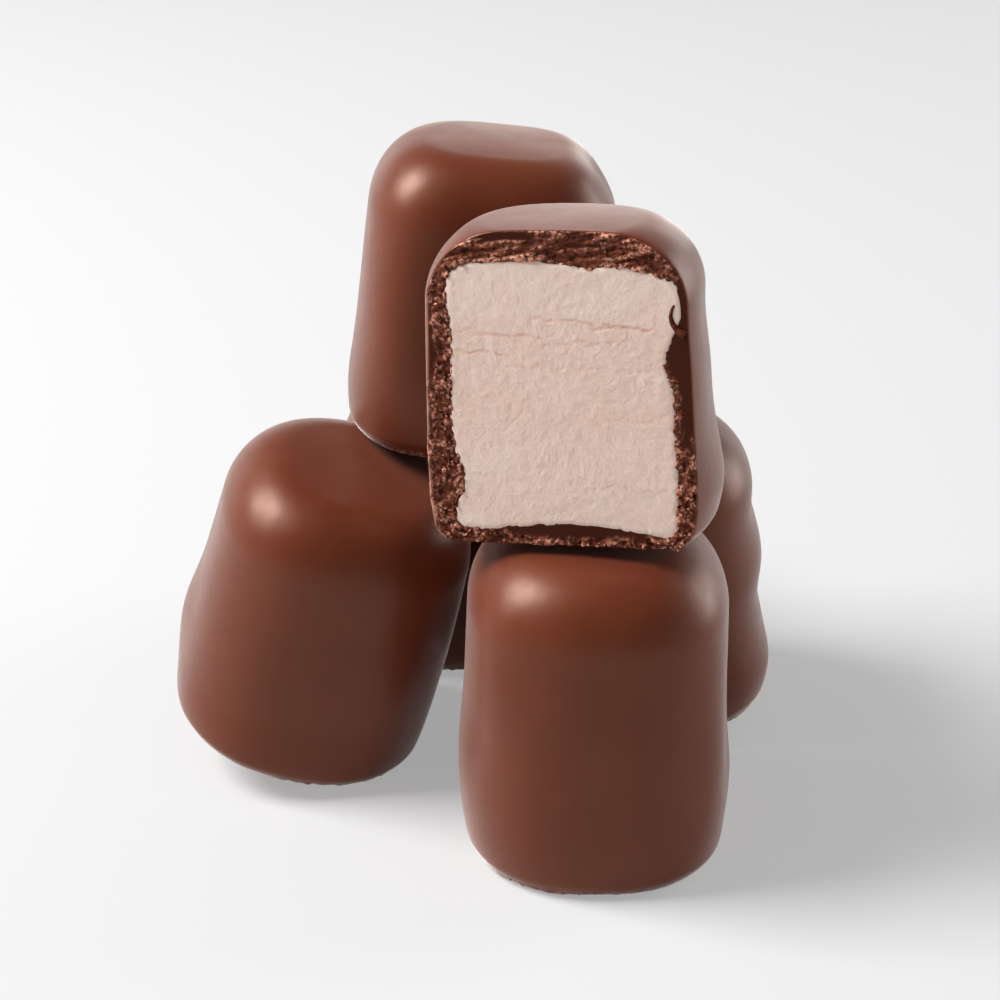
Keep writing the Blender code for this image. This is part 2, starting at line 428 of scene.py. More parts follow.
@dataclass(frozen=True)
class SatinCoat:
    """Set milk chocolate: satin, faintly cloudy, finely pitted; paler where the lip of a foot broke."""

    colour: tuple[float, float, float] = (0.112, 0.021, 0.007)
    cloud: tuple[float, float, float] = (0.124, 0.026, 0.009)
    crumbs: tuple[float, float, float] = (0.420, 0.210, 0.150)
    roughness: float = 0.39

    def make(self) -> bpy.types.Material:
        """Build the material."""
        nodes = Nodes("satin_milk_chocolate")
        clouds = nodes.fit(nodes.grain(9.0 * MM, 3.0), (0.35, 0.7), (0.0, 1.0))
        colour = nodes.mix(clouds, self.colour, self.cloud)
        flecks = nodes.fit(nodes.grain(0.6 * MM, 3.0), (0.5, 0.6), (0.0, 1.0))
        colour = nodes.mix(nodes.sum("MULTIPLY", flecks, nodes.tone("broken")), colour, self.crumbs)
        peel = nodes.bump(nodes.grain(1.4 * MM, 2.0), 0.012 * MM)
        pores = nodes.bump(nodes.grain(0.25 * MM, 2.0), 0.006 * MM, peel)
        span = (self.roughness - 0.04, self.roughness + 0.04)
        roughness = nodes.fit(nodes.grain(2.5 * MM, 3.0), (0.3, 0.7), span)
        nodes.set(
            Base_Color=colour,
            Roughness=roughness,
            Normal=pores,
            IOR=1.45,
            Specular_IOR_Level=0.5,
            Specular_Tint=(1.0, 0.66, 0.52, 1.0),
            Sheen_Weight=0.85,
            Sheen_Roughness=0.3,
            Sheen_Tint=(1.0, 0.86, 0.80, 1.0),
            Subsurface_Weight=0.08,
            Subsurface_Scale=1.5 * MM,
            Subsurface_Radius=(1.0, 0.35, 0.15),
        )
        return nodes.material


@dataclass(frozen=True)
class BrokenChocolate:
    """Chocolate that a knife broke: dark, rust and peach crumbs, smooth where the crumb tone is low; a
    painted highlight lies along the left outer edge of the cut.
    """

    dark: tuple[float, float, float] = (0.040, 0.007, 0.003)
    middle: tuple[float, float, float] = (0.180, 0.045, 0.024)
    light: tuple[float, float, float] = (0.680, 0.310, 0.210)
    # skin: the colour of a painted highlight, the window's light on the coat's outer edge at the cut's left
    # side
    skin: tuple[float, float, float] = (0.480, 0.220, 0.150)
    roughness: float = 0.5

    def make(self) -> bpy.types.Material:
        """Build the material."""
        nodes = Nodes("broken_chocolate")
        crumb = nodes.tone("crumb")
        mottle = nodes.fit(nodes.grain(0.6 * MM, 4.0), (0.40, 0.60), (0.0, 1.0))
        flecks = nodes.fit(nodes.grain(0.40 * MM, 3.0), (0.44, 0.58), (0.0, 1.0))
        body = nodes.mix(nodes.sum("MULTIPLY", mottle, crumb), self.dark, self.middle)
        colour = nodes.mix(nodes.sum("MULTIPLY", flecks, nodes.tone("fleck")), body, self.light)
        # Paints the highlight of the cut's left outer edge where the skin tone is high
        colour = nodes.mix(nodes.tone("skin"), colour, self.skin)
        rough = nodes.bump(nodes.sum("MULTIPLY", nodes.grain(0.3 * MM, 4.0), crumb), 0.20 * MM)
        nodes.set(
            Base_Color=colour,
            Roughness=self.roughness,
            Normal=rough,
            IOR=1.45,
            Specular_IOR_Level=0.25,
            Specular_Tint=(1.0, 0.6, 0.45, 1.0),
        )
        return nodes.material


@dataclass(frozen=True)
class VelvetFilling:
    """Set marshmallow: pale, matt and velvety, pinker in bands, with hairline cracks across it."""

    colour: tuple[float, float, float] = (0.80, 0.64, 0.56)
    shade: tuple[float, float, float] = (0.76, 0.55, 0.46)
    crack: tuple[float, float, float] = (0.66, 0.35, 0.26)

    def make(self) -> bpy.types.Material:
        """Build the material."""
        nodes = Nodes("velvet_marshmallow")
        clouds = nodes.fit(nodes.grain(4.0 * MM, 4.0), (0.35, 0.7), (0.0, 0.5))
        colour = nodes.mix(nodes.sum("ADD", clouds, nodes.tone("band")), self.colour, self.shade)
        pile = nodes.fit(nodes.grain(0.32 * MM, 3.0), (0.35, 0.65), (0.0, 0.35))
        colour = nodes.mix(pile, colour, self.shade)
        colour = nodes.mix(nodes.tone("crack"), colour, self.crack)
        nap = nodes.bump(nodes.grain(0.26 * MM, 3.0), 0.05 * MM)
        nodes.set(
            Base_Color=colour,
            Roughness=0.9,
            Normal=nap,
            Specular_IOR_Level=0.1,
            Subsurface_Weight=0.15,
            Subsurface_Scale=1.5 * MM,
            Subsurface_Radius=(1.0, 0.7, 0.55),
        )
        return nodes.material


# ----------------------------------------------------------------------------------------------------
# The sweets


@dataclass(frozen=True)
class WholeSweet:
    """An uncut marshmallow in its coat."""

    node: str
    form: Form
    seed: int
    wave: float = 0.07 * MM
    lip: float = 0.35 * MM
    crumbly: tuple[float, float] | None = None  # the stretch of the foot, in degrees, where crumbs cling
    columns: int = 340
    rows: int = 180

    def shift(self, local: np.ndarray) -> np.ndarray:
        """How far the coat stands out: long waves everywhere, and a thin ragged lip round the foot.

        Args:
            local: points of the sweet before it leans, shape (rows, columns, 3).

        Returns:
            Distances along the normal, shape (rows, columns).
        """
        waves = self.wave * layered(local, 13.0 * MM, self.seed)
        return waves + self.lip * self.broken(local) * (0.6 + 0.5 * layered(local, 0.8 * MM, self.seed + 20))

    def broken(self, local: np.ndarray) -> np.ndarray:
        """Where the lip of the foot broke: 1 on it, 0 away from it, in stretches round the sweet."""
        height = 0.45 * MM + 0.25 * MM * noise(local, 2.0 * MM, self.seed + 30)
        stretches = ramp(noise(local * (1.0, 1.0, 0.0), 6.0 * MM, self.seed + 31), -0.5, 0.2)
        return bell((local[..., 2] - height) / (0.45 * MM)) * (0.25 + 0.75 * stretches)

    def crumbs(self) -> np.ndarray:
        """Places for the crumbs that cling to the lip of the foot, shape (count, 3)."""
        rng = np.random.default_rng(self.seed + 50)
        low, high = self.crumbly
        angle = np.radians(rng.uniform(low, high, int((high - low) * 1.1)))
        angle = angle[noise(np.stack([angle * 20.0 * MM] * 3, -1), 2.5 * MM, self.seed) > -0.35]
        height = rng.uniform(0.15, 0.8, len(angle)) * MM
        out = self.form.radius(angle, height) + rng.uniform(-0.05, 0.12, len(angle)) * MM
        return np.stack([out * np.cos(angle), out * np.sin(angle), height], -1)

    def build(self, coat: bpy.types.Material, broken: bpy.types.Material) -> list[bpy.types.Object]:
        """Make the sweet and the crumbs on its foot, and put them in its node's place."""
        skin = self.form.whole(self.columns, self.rows)
        shift = self.shift(skin.rows)
        lean = self.form.lean()
        leant = skin.rows @ lean.T
        place = stand_in_box(leant, self.node)
        skin.tones["broken"] = self.broken(skin.rows)
        skin.rows = leant + place
        skin.start, skin.end = lean @ skin.start + place, lean @ skin.end + place
        made = skin.mesh(self.node + "_skin", shift)
        pieces = [link(made, [coat])]
        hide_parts(self.node)
        if self.crumbly:
            places = self.crumbs() @ lean.T + place
            places[:, 2] = np.clip(places[:, 2], 0.1 * MM, None)
            crumbs = Crumbs(self.node + "_crumbs", self.seed, 0.07 * MM, 0.26 * MM)
            pieces.append(crumbs.build(places, broken))
        return pieces


@dataclass(frozen=True)
class Crumbs:
    """Loose crumbs of broken chocolate, all one piece: small twenty-faced lumps, turned at random."""

    name: str
    seed: int
    smallest: float = 0.09 * MM
    largest: float = 0.42 * MM

    def build(self, places: np.ndarray, finish: bpy.types.Material) -> bpy.types.Object:
        """Put a crumb at each place, shape (count, 3)."""
        work = bmesh.new()
        bmesh.ops.create_icosphere(work, subdivisions=1, radius=1.0)
        corners = np.array([corner.co for corner in work.verts])
        faces = np.array([[corner.index for corner in face.verts] for face in work.faces])
        work.free()
        rng = np.random.default_rng(self.seed)
        count = len(places)
        size = self.smallest * (self.largest / self.smallest) ** (rng.random(count) ** 1.6)
        squash = rng.uniform(0.4, 1.2, (count, 1, 3)) * rng.uniform(0.75, 1.25, (count, len(corners), 1))
        turn = np.linalg.qr(rng.normal(size=(count, 3, 3)))[0]
        turn *= np.linalg.det(turn)[:, None, None]
        lumps = np.einsum("nij,nkj->nki", turn, corners * squash * size[:, None, None]) + places[:, None, :]
        listed = (faces + (np.arange(count) * len(corners))[:, None, None]).reshape(-1, 3)
        made = bpy.data.meshes.new(self.name)
        made.from_pydata(lumps.reshape(-1, 3).tolist(), [], listed.tolist())
        pale = np.repeat(rng.random(count), len(corners))
        for tone, values in {"crumb": np.ones(len(pale)), "fleck": pale, "skin": np.zeros(len(pale))}.items():
            made.attributes.new(tone, "FLOAT", "POINT").data.foreach_set("value", values.astype(np.float32))
        return link(made, [finish])


@dataclass(frozen=True)
class Spot:
    """A soft-edged place on the cut face, and how much of something it adds there."""

    across: float
    up: float
    amount: float
    reach_across: float
    reach_up: float

    def at(self, x: np.ndarray, z: np.ndarray) -> np.ndarray:
        """How much it adds at each place on the cut face."""
        return self.amount * bell((x - self.across) / self.reach_across) * bell((z - self.up) / self.reach_up)


@dataclass(frozen=True)
class Hairline:
    """A fine crack across the filling: its height at the left, its ends, its fall and its strength."""

    height: float
    left: float
    right: float
    fall: float
    strength: float

    def at(self, face: np.ndarray) -> np.ndarray:
        """How deep the crack is at each point of the cut face, from 0 to 1."""
        wander = 0.35 * MM * layered(face * (1.0, 0.0, 0.0) + self.height, 1.6 * MM, 83)
        line = self.height + wander - self.fall * (face[..., 0] - self.left)
        span = ramp(face[..., 0], self.left - 1.5 * MM, self.left)
        span = span * ramp(face[..., 0], self.right + 1.5 * MM, self.right)
        dashes = ramp(noise(face * (1.0, 0.0, 1.0) + self.height, 0.9 * MM, 84), -0.4, 0.3)
        return self.strength * bell((face[..., 2] - line) / (0.17 * MM)) * span * dashes


@dataclass(frozen=True)
class CutSweet:
    """The sweet that was cut open: its coat with the broken rim, and its filling."""

    form: Form
    coat_node: str = "cut_marshmallow_coat"
    filling_node: str = "cut_marshmallow_filling"
    cut_forward: float = 6.7 * MM
    thickness: dict[Side, float] = field(
        default_factory=lambda: {
            Side.LEFT: 2.8 * MM,
            Side.RIGHT: 2.1 * MM,
            Side.TOP: 3.4 * MM,
            Side.FOOT: 1.0 * MM,
        }
    )
    thicker: tuple[Spot, ...] = (
        Spot(-14.5 * MM, 4.0 * MM, 1.5 * MM, 3.0 * MM, 5.0 * MM),
        Spot(-14.0 * MM, 34.0 * MM, -1.7 * MM, 3.5 * MM, 3.5 * MM),
        Spot(1.0 * MM, 0.0 * MM, 1.5 * MM, 11.0 * MM, 3.0 * MM),
        Spot(5.0 * MM, 37.0 * MM, 0.8 * MM, 5.0 * MM, 3.0 * MM),
        Spot(15.5 * MM, 22.5 * MM, 0.8 * MM, 3.0 * MM, 2.6 * MM),
        Spot(15.0 * MM, 29.8 * MM, -2.1 * MM, 4.0 * MM, 3.6 * MM),
    )
    smooth: tuple[Spot, ...] = (
        Spot(1.0 * MM, 1.8 * MM, 1.1, 12.0 * MM, 1.2 * MM),
        Spot(15.0 * MM, 22.5 * MM, 1.2, 3.0 * MM, 4.0 * MM),
        Spot(15.5 * MM, 29.5 * MM, 1.1, 3.0 * MM, 4.5 * MM),
        Spot(14.6 * MM, 15.0 * MM, 0.9, 1.0 * MM, 6.0 * MM),
        Spot(-14.6 * MM, 24.0 * MM, 1.1, 0.75 * MM, 5.5 * MM),
        Spot(-14.9 * MM, 14.0 * MM, 0.8, 0.5 * MM, 3.0 * MM),
        Spot(-6.0 * MM, 36.0 * MM, 1.2, 7.5 * MM, 0.6 * MM),
        Spot(3.0 * MM, 35.0 * MM, 0.8, 5.0 * MM, 0.4 * MM),
    )
    hairlines: tuple[Hairline, ...] = (
        Hairline(26.6 * MM, -2.0 * MM, 11.0 * MM, 0.07, 0.55),
        Hairline(25.4 * MM, -12.5 * MM, -2.0 * MM, 0.08, 0.35),
        Hairline(24.3 * MM, -6.0 * MM, 7.0 * MM, 0.01, 0.35),
        Hairline(22.7 * MM, -11.0 * MM, -6.5 * MM, 0.05, 0.55),
        Hairline(23.5 * MM, -6.0 * MM, 1.0 * MM, -0.02, 0.35),
        Hairline(7.2 * MM, 5.5 * MM, 13.0 * MM, 0.05, 0.35),
        Hairline(15.0 * MM, 6.0 * MM, 13.0 * MM, 0.02, 0.22),
        Hairline(25.9 * MM, 4.0 * MM, 12.5 * MM, 0.10, 0.50),
        Hairline(24.9 * MM, -13.0 * MM, 3.0 * MM, 0.03, 0.30),
        Hairline(21.0 * MM, -8.0 * MM, 10.0 * MM, 0.01, 0.20),
        Hairline(8.0 * MM, -9.0 * MM, 4.0 * MM, 0.00, 0.15),
    )
    columns: int = 900
    outer_rows: int = 56
    rim_rows: int = 40
    inner_rows: int = 6
    face_rows: int = 96
    overlap: float = 0.15 * MM

    def middle(self) -> np.ndarray:
        """The middle of the cut face."""
        return np.array([0.0, -self.cut_forward, self.form.height * 0.5])

    def reach(self, ways: np.ndarray) -> np.ndarray:
        """How far it is from the middle of the cut to the coat's outside, found by halving the interval.

        Args:
            ways: unit vectors, shape (..., 3).

        Returns:
            Distances, shape (...).
        """
        low = np.zeros(ways.shape[:-1])
        high = np.full(ways.shape[:-1], 2.0 * self.form.height)
        for _ in range(32):
            half = (low + high) / 2.0
            inside = self.form.holds(self.middle() + ways * half[..., None])
            low, high = np.where(inside, half, low), np.where(inside, high, half)
        return low

    def directions(self) -> np.ndarray:
        """Angles about the cut's middle whose points lie evenly along the cut's outline, shape (columns,)."""
        angle = np.linspace(0.0, 2.0 * np.pi, 4001)
        way = np.stack([np.cos(angle), np.zeros_like(angle), np.sin(angle)], -1)
        edge = way * self.reach(way)[:, None]
        length = np.concatenate([[0.0], np.cumsum(np.linalg.norm(np.diff(edge, axis=0), axis=1))])
        return np.interp(np.linspace(0.0, length[-1], self.columns, endpoint=False), length, angle)

    def rays(self, angle: np.ndarray, dip: np.ndarray) -> np.ndarray:
        """Unit vectors from the cut's middle, by angle about it and dip behind the cut, in radians."""
        flat = np.cos(dip)
        return np.stack(np.broadcast_arrays(np.cos(angle) * flat, np.sin(dip), np.sin(angle) * flat), -1)

    def wall(self, angle: np.ndarray, edge: np.ndarray) -> np.ndarray:
        """The coat's thickness along each ray in the cut: each side's own, weighed by how the outline faces.

        Args:
            angle: the rays' angles.
            edge: the outline's points, shape (columns, 3).

        Returns:
            Distances inwards along the rays, shape (columns,).
        """
        along = np.roll(edge, -1, axis=0) - np.roll(edge, 1, axis=0)
        normal = np.stack([along[:, 2], -along[:, 0]], -1)
        normal /= np.linalg.norm(normal, axis=1, keepdims=True)
        thick = np.zeros(len(angle))
        for side, amount in self.thickness.items():
            thick += amount * np.clip(normal @ np.array(side.value), 0.0, None) ** 2
        for spot in self.thicker:
            thick += spot.at(edge[:, 0], edge[:, 2])
        facing = np.clip(normal[:, 0] * np.cos(angle) + normal[:, 1] * np.sin(angle), 0.55, 1.0)
        teeth = 0.09 * MM * layered(edge, 1.1 * MM, 71)
        teeth = teeth + 0.16 * MM * ramp(noise(edge, 0.4 * MM, 72), 0.1, 0.9)
        return np.clip(thick / facing + teeth, 0.8 * MM, None)

    def torn(self, edge: np.ndarray) -> np.ndarray:
        """How far the coat's outer edge was torn, inwards where negative, at the cut's foot and left."""
        x, z = edge[:, 0], edge[:, 2]
        where = ramp(x, -13.0 * MM, -15.5 * MM) * ramp(z, 24.0 * MM, 6.0 * MM)
        where = where + 0.7 * ramp(z, 2.0 * MM, 0.5 * MM)
        notch = Spot(-16.5 * MM, 7.6 * MM, -0.55 * MM, 2.0 * MM, 0.4 * MM).at(x, z)
        return 0.26 * MM * (layered(edge, 1.5 * MM, 73) + 0.3) * np.clip(where, 0.0, 1.0) + notch

    def crumb(self, rim: np.ndarray) -> np.ndarray:
        """How crumbly the rim is, shape (rows, columns): 0 where the knife left it smooth, else 1."""
        smooth = sum(spot.at(rim[..., 0], rim[..., 2]) for spot in self.smooth)
        return ramp(1.0 - smooth + 0.25 * noise(rim, 0.9 * MM, 66), 0.15, 0.75)

    def relief(self, rim: np.ndarray) -> np.ndarray:
        """The broken rim's height from -1 to 1: crumbs, and slanting fibres where it runs along the top."""
        crumbs = 0.8 * layered(rim, 0.9 * MM, 65, 3) + 0.3 * noise(rim, 0.33 * MM, 67)
        slant = np.stack([rim[..., 0] + 1.6 * rim[..., 2], rim[..., 1], rim[..., 2] - 0.25 * rim[..., 0]], -1)
        fibres = layered(slant / (3.2, 1.0, 0.55), 1.0 * MM, 68, 3)
        top = ramp(rim[..., 2], 31.5 * MM, 34.0 * MM)
        return np.clip(crumbs + top * (fibres - crumbs), -1.0, 1.0)

    def build(
        self, coat: bpy.types.Material, broken: bpy.types.Material, filling: bpy.types.Material
    ) -> list:
        """Make the coat and the filling and put them in their nodes' places."""
        angle = self.directions()
        middle = self.middle()
        dips = np.linspace(np.pi / 2, 0.0, self.outer_rows + 1)[1:, None]
        outer_ways = self.rays(angle[None, :], dips)
        outer = self.reach(outer_ways)
        whole_edge = middle + outer_ways[-1] * outer[-1][:, None]
        torn = self.torn(whole_edge)
        wall = self.wall(angle, whole_edge) + torn
        outer = outer + torn * bell(dips / 0.05)
        edge = middle + outer_ways[-1] * outer[-1][:, None]

        across = np.linspace(0.0, 1.0, self.rim_rows + 1)[1:, None]
        rim = middle + outer_ways[-1] * (outer[-1] - wall * across)[..., None]
        inner_dips = np.linspace(0.0, np.pi / 2, self.inner_rows + 1)[1:-1, None]
        inner_ways = self.rays(angle[None, :], inner_dips)
        back = 2.6 * MM * (1.0 - np.cos(inner_dips))
        inner_reach = self.reach(inner_ways) - wall * np.cos(inner_dips) - back
        inner = middle + inner_ways * inner_reach[..., None]
        back = middle + np.array([0.0, outer[0].mean(), 0.0])
        rows = np.concatenate([middle + outer_ways * outer[..., None], rim, inner])

        rim_from, rim_to = self.outer_rows - 1, self.outer_rows + self.rim_rows
        tones = {name: np.zeros(rows.shape[:2]) for name in ("crumb", "fleck", "skin", "broken")}
        on_rim = rows[rim_from:rim_to]
        crumb = self.crumb(on_rim)
        relief = self.relief(on_rim)
        share = np.linspace(0.0, 1.0, len(on_rim))[:, None] * np.ones(len(angle))
        edges = bell(share / 0.22) + bell((1.0 - share) / 0.35)
        tones["crumb"][rim_from:rim_to] = crumb
        fleck = ramp(relief, -0.15, 0.45) * (0.45 + 0.75 * edges)
        tones["fleck"][rim_from:rim_to] = crumb * np.clip(fleck, 0.0, 1.0)
        # The skin tone marks a painted highlight: a pale line on the rim's outermost rows at the cut's left,
        # standing in for the window's light on the coat's edge
        tones["skin"][rim_from:rim_to] = bell(share / 0.06) * ramp(on_rim[..., 0], -12.0 * MM, -14.5 * MM)
        shift = np.zeros(rows.shape[:2])
        shift[:rim_from] = 0.07 * MM * layered(rows[:rim_from], 13.0 * MM, 64)
        shift[rim_from:rim_to] = 0.34 * MM * relief * crumb * ramp(share, 0.0, 0.06)
        lean = self.form.lean()
        place = stand_in_box(rows[: self.outer_rows] @ lean.T, self.coat_node)
        finishes = np.zeros(len(rows) - 1, int)
        finishes[rim_from:] = 1
        skin = Skin(
            rows @ lean.T + place,
            lean @ back + place,
            lean @ (back - np.array([0.0, 2.6 * MM, 0.0])) + place,
            finishes,
            tones,
        )
        coat_piece = link(skin.mesh("cut_coat_skin", shift), [coat, broken])
        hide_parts(self.coat_node)

        share = np.linspace(0.0, 1.0, self.face_rows + 1)[1:, None]
        face_reach = (outer[-1] - wall + self.overlap) * share
        face = middle + outer_ways[-1] * face_reach[..., None]
        proud = 0.10 * MM * (1.0 - ramp(share, 0.965, 1.0)) - 0.05 * MM
        face[..., 1] -= proud
        hidden = middle + inner_ways * (inner_reach + self.overlap)[..., None]
        rows = np.concatenate([face, hidden])
        crack, band, shift = (np.zeros(rows.shape[:2]) for _ in range(3))
        crack[: self.face_rows] = np.clip(sum(line.at(face) for line in self.hairlines), 0.0, 1.0)
        level = face[..., 2] + 0.8 * MM * layered(face, 6.0 * MM, 85)
        strong = 0.45 - 0.25 * ramp(level, 16.0 * MM, 9.0 * MM)
        band[: self.face_rows] = ramp(level, 27.5 * MM, 25.5 * MM) * strong
        fluff = 0.035 * MM * layered(face, 0.9 * MM, 81, 3)
        shift[: self.face_rows] = fluff - 0.10 * MM * crack[: self.face_rows]
        skin = Skin(
            (rows @ lean.T + place)[::-1],
            lean @ (back - np.array([0.0, 2.6 * MM, 0.0])) + place,
            lean @ (middle - np.array([0.0, 0.05 * MM, 0.0])) + place,
            None,
            {"crack": crack[::-1], "band": band[::-1]},
        )
        filling_piece = link(skin.mesh("cut_filling_skin", shift[::-1]), [filling])
        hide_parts(self.filling_node)
        chips = self.chips(edge, wall, outer_ways[-1]) @ lean.T + place
        crumbs = Crumbs("cut_crumbs", 91).build(chips, broken)
        return [coat_piece, filling_piece, crumbs, self.curl(broken, lean, place)]

    def chips(self, edge: np.ndarray, wall: np.ndarray, ways: np.ndarray) -> np.ndarray:
        """Places for loose crumbs on the broken rim, most at its foot and left, shape (count, 3)."""
        rng = np.random.default_rng(92)
        column = rng.integers(0, len(edge), 1500)
        depth = rng.uniform(0.03, 1.0, 1500)
        spot = edge[column] - ways[column] * (wall[column] * depth)[:, None]
        spot[:, 1] -= rng.uniform(0.0, 0.22, 1500) * MM
        x, z = spot[:, 0], spot[:, 2]
        left = ramp(x, -11.0 * MM, -13.0 * MM) * ramp(z, 30.0 * MM, 8.0 * MM)
        likely = 0.15 + 0.6 * left + 0.3 * ramp(z, 1.2 * MM, 0.4 * MM)
        likely += 0.5 * ramp(x, 12.0 * MM, 14.0 * MM) * ramp(z, 10.0 * MM, 4.0 * MM)
        return spot[(rng.random(1500) < likely) & (self.crumb(spot) > 0.5)]

    def curl(self, finish: bpy.types.Material, lean: np.ndarray, place: np.ndarray) -> bpy.types.Object:
        """The curl of chocolate that the knife pulled into the filling: a tube, thin at its tip."""
        along = np.linspace(0.0, 1.0, 40)
        bends = [(13.3, 28.6), (12.95, 27.9), (12.85, 27.1), (13.1, 26.3), (13.7, 25.6), (14.5, 25.1)]
        line = np.array(bends) * MM
        knots = np.linspace(0.0, 1.0, len(line))
        across = np.interp(along, knots, line[:, 0])
        up = np.interp(along, knots, line[:, 1])
        path = np.stack([across, np.full(40, -self.cut_forward), up], -1)
        kernel = np.ones(7) / 7
        path = np.stack([np.convolve(np.pad(c, 3, "edge"), kernel, "valid") for c in path.T], -1)
        tangent = np.gradient(path, axis=0)
        tangent /= np.linalg.norm(tangent, axis=1, keepdims=True)
        side = np.stack([tangent[:, 2], np.zeros(40), -tangent[:, 0]], -1)
        radius = (0.14 + 0.40 * along**1.5) * MM * (1.0 + 0.15 * noise(path, 0.6 * MM, 93))
        turn = np.linspace(0.0, 2.0 * np.pi, 16, endpoint=False)
        ring = np.cos(turn)[:, None] * side[:, None, :] + np.sin(turn)[:, None] * np.array([0.0, -1.0, 0.0])
        rows = path[:, None, :] + ring * radius[:, None, None]
        tones = {name: np.zeros(rows.shape[:2]) for name in ("crumb", "fleck", "skin")}
        tones["crumb"] += 0.4
        skin = Skin(rows @ lean.T + place, lean @ path[0] + place, lean @ path[-1] + place, None, tones)
        return link(skin.mesh("cut_curl"), [finish])


# ----------------------------------------------------------------------------------------------------
# The studio


@dataclass(frozen=True)
class Studio:
    """A pale table in a white room, with a soft window from the upper left and a card at the right."""

    aim: tuple[float, float, float] = (2.9 * MM, -10.95 * MM, 37.5 * MM)
    distance: float = 290.0 * MM
    elevation: float = 25.5
    view: float = 24.0
    floor_half: float = 3.0
    floor_colour: float = 0.66
    floor_shown: float = 0.35
    floor_glow: float = 0.35
    window_way: tuple[float, float, float] = (-0.68, 0.04, 0.73)
    lamp_distance: float = 0.9
    window_size: float = 0.42
    window_power: float = 15.5
    card_way: tuple[float, float, float] = (0.85, 0.38, 0.22)
    card_size: float = 0.5
    card_power: float = 4.0
    walls: float = 1.4
    ceiling: float = 0.15

    def camera(self) -> None:
        """Set the camera: it looks along +Y and down at the stack."""
        lens = bpy.data.cameras.new("camera")
        lens.angle = math.radians(self.view)
        lens.clip_start = 0.01
        made = bpy.data.objects.new("camera", lens)
        tilt = math.radians(self.elevation)
        back = Vector((0.0, -math.cos(tilt), math.sin(tilt)))
        made.location = Vector(self.aim) + back * self.distance
        made.rotation_euler = (math.pi / 2 - tilt, 0.0, 0.0)
        bpy.context.scene.collection.objects.link(made)
        bpy.context.scene.camera = made

    def floor(self) -> None:
        """Lay the table, a wide pale plane at the foot of the stack."""
        half = self.floor_half
        made = bpy.data.meshes.new("table")
        corners = [(-half, -half, 0), (half, -half, 0), (half, half, 0), (-half, half, 0)]
        made.from_pydata(corners, [], [(0, 1, 2, 3)])
        nodes = Nodes("table_white")
        path = nodes.add("ShaderNodeLightPath").outputs
        seen = nodes.sum("MAXIMUM", path["Is Camera Ray"], path["Is Glossy Ray"])
        colour = nodes.mix(seen, (self.floor_colour,) * 3, (self.floor_shown,) * 3)
        glow = nodes.sum("MULTIPLY", seen, self.floor_glow)
        nodes.set(Base_Color=colour, Roughness=0.8, Specular_IOR_Level=0.1)
        nodes.set(Emission_Color=(1.0, 1.0, 1.0, 1.0), Emission_Strength=glow)
        made.materials.append(nodes.material)
        table = bpy.data.objects.new("table", made)
        bpy.context.scene.collection.objects.link(table)

    def lamp(self, name: str, toward: tuple[float, float, float], size: float, power: float) -> None:
        """Hang a square white lamp that shines at the stack.

        Args:
            name: its name.
            toward: the way from the stack to it.
            size: its side.
            power: its power in watts.
        """
        light = bpy.data.lights.new(name, "AREA")
        light.shape = "SQUARE"
        light.size = size
        light.energy = power
        made = bpy.data.objects.new(name, light)
        way = Vector(toward).normalized()
        made.location = Vector(self.aim) + way * self.lamp_distance
        made.rotation_euler = way.to_track_quat("Z", "Y").to_euler()
        bpy.context.scene.collection.objects.link(made)

    def fade(
        self,
        tree: bpy.types.NodeTree,
        value: bpy.types.NodeSocket,
        old: tuple[float, float],
        new: tuple[float, float],
    ) -> bpy.types.NodeSocket:
        """Map a value smoothly from the old range to the new one."""
        node = tree.nodes.new("ShaderNodeMapRange")
        node.interpolation_type = "SMOOTHSTEP"
        tree.links.new(value, node.inputs["Value"])
        for name, number in zip(("From Min", "From Max", "To Min", "To Max"), (*old, *new)):
            node.inputs[name].default_value = number
        return node.outputs["Result"]

    def room(self) -> None:
        """Paint the room: white round the sides and the back, dark over and behind the viewer."""
        world = bpy.data.worlds.new("room")
        world.use_nodes = True
        bpy.context.scene.world = world
        tree = world.node_tree
        way = tree.nodes.new("ShaderNodeTexCoord").outputs["Generated"]
        split = tree.nodes.new("ShaderNodeSeparateXYZ")
        tree.links.new(way, split.inputs[0])
        low = self.fade(tree, split.outputs["Z"], (0.02, 0.45), (1.0, 0.0))
        behind = self.fade(tree, split.outputs["Y"], (-0.85, -0.1), (0.15, 1.0))
        glow = tree.nodes.new("ShaderNodeMath")
        glow.operation = "MULTIPLY"
        tree.links.new(low, glow.inputs[0])
        tree.links.new(behind, glow.inputs[1])
        shade = tree.nodes.new("ShaderNodeMapRange")
        shade.inputs["To Min"].default_value = self.ceiling
        shade.inputs["To Max"].default_value = self.walls
        tree.links.new(glow.outputs[0], shade.inputs["Value"])
        background = tree.nodes["Background"]
        tree.links.new(shade.outputs["Result"], background.inputs["Strength"])
        background.inputs["Color"].default_value = (1.0, 1.0, 1.0, 1.0)

    def set_up(self) -> None:
        """Set up the whole studio."""
        self.camera()
        self.floor()
        self.lamp("window", self.window_way, self.window_size, self.window_power)
        self.lamp("card", self.card_way, self.card_size, self.card_power)
        self.room()
        bpy.context.scene.view_settings.view_transform = "Standard"


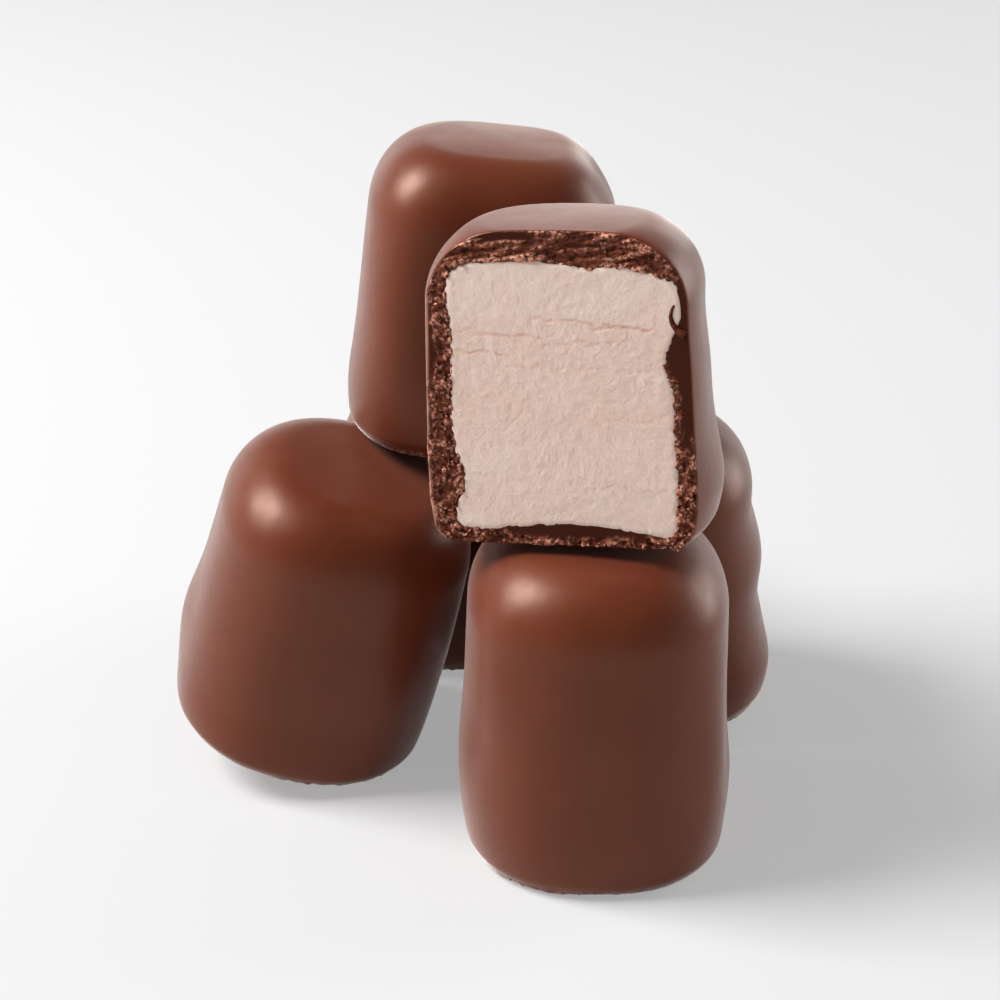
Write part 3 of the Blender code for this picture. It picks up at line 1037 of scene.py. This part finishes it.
WHOLE_SWEETS = (
    WholeSweet(
        "front_right_marshmallow",
        Form(
            half_depth=17.4 * MM,
            height=40.8 * MM,
            lumps=(
                Lump(around=-36, height=17 * MM, push=0.5 * MM, spread=13, reach=11 * MM),
                Lump(around=-16, height=19 * MM, push=-0.35 * MM, spread=12, reach=10 * MM),
                Lump(around=2, height=9 * MM, push=0.5 * MM, spread=24, reach=5 * MM),
                Lump(around=175, height=10 * MM, push=0.6 * MM, spread=40, reach=8 * MM),
                Lump(around=-138, height=29 * MM, push=0.5 * MM, spread=13, reach=9 * MM),
            ),
        ),
        seed=11,
        crumbly=(165.0, 262.0),
    ),
    WholeSweet(
        "front_left_marshmallow",
        Form(
            half_width=16.9 * MM,
            half_depth=17.3 * MM,
            turn=5.0,
            lean_forward=7.6,
            lean_right=15.0,
            lumps=(
                Lump(around=168, height=10.5 * MM, push=0.9 * MM, spread=18, reach=6 * MM),
                Lump(around=-95, height=1.5 * MM, push=1.2 * MM, spread=50, reach=5 * MM),
                Lump(around=-28, height=18 * MM, push=0.6 * MM, spread=12, reach=14 * MM),
            ),
        ),
        seed=21,
    ),
    WholeSweet(
        "back_right_marshmallow",
        Form(
            half_width=16.0 * MM,
            half_depth=16.6 * MM,
            height=38.9 * MM,
            lean_right=-4.2,
            lumps=(
                Lump(around=-8, height=5 * MM, push=0.9 * MM, spread=40, reach=4 * MM),
                Lump(around=-5, height=15 * MM, push=-0.4 * MM, spread=30, reach=3 * MM),
                Lump(around=-15, height=21 * MM, push=0.5 * MM, spread=30, reach=3.5 * MM),
                Lump(around=-5, height=27.5 * MM, push=-0.5 * MM, spread=26, reach=2.5 * MM),
            ),
        ),
        seed=31,
    ),
    WholeSweet(
        "back_left_marshmallow",
        Form(
            half_width=16.0 * MM,
            half_depth=16.2 * MM,
            height=36.6 * MM,
            lumps=(
                Lump(around=70, height=9 * MM, push=0.5 * MM, spread=35, reach=6 * MM),
                Lump(around=120, height=22 * MM, push=-0.4 * MM, spread=30, reach=8 * MM),
                Lump(around=190, height=34 * MM, push=-2.2 * MM, spread=45, reach=8 * MM),
            ),
        ),
        seed=51,
    ),
    WholeSweet(
        "back_top_marshmallow",
        Form(
            squareness=2.9,
            half_depth=15.0 * MM,
            height=37.9 * MM,
            lean_forward=-1.2,
            lean_right=5.3,
            lumps=(
                Lump(around=178, height=5 * MM, push=0.5 * MM, spread=22, reach=6 * MM),
                Lump(around=-130, height=18 * MM, push=0.8 * MM, spread=15, reach=13 * MM),
                Lump(around=-98, height=20 * MM, push=-0.8 * MM, spread=20, reach=10 * MM),
                Lump(around=0, height=35 * MM, push=-1.2 * MM, spread=50, reach=4 * MM),
            ),
        ),
        seed=41,
        crumbly=(170.0, 285.0),
    ),
)

CUT_SWEET = CutSweet(
    Form(
        half_width=16.8 * MM,
        half_depth=15.4 * MM,
        height=36.9 * MM,
        turn=-12.3,
        lean_forward=-6.2,
        lean_right=-2.2,
        lumps=(
            Lump(around=10, height=6 * MM, push=1.2 * MM, spread=24, reach=6 * MM),
            Lump(around=8, height=26 * MM, push=-0.4 * MM, spread=24, reach=4 * MM),
        ),
    )
)


def main() -> None:
    """Set up the studio and build every sweet."""
    logging.basicConfig(level=logging.INFO, format="%(message)s")
    Studio().set_up()
    coat = SatinCoat().make()
    broken = BrokenChocolate().make()
    pieces = [piece for sweet in WHOLE_SWEETS for piece in sweet.build(coat, broken)]
    pieces += CUT_SWEET.build(coat, broken, VelvetFilling().make())
    for piece in pieces:
        log.info("%s: %d faces", piece.name, len(piece.data.polygons))


if __name__ == "__main__":
    main()
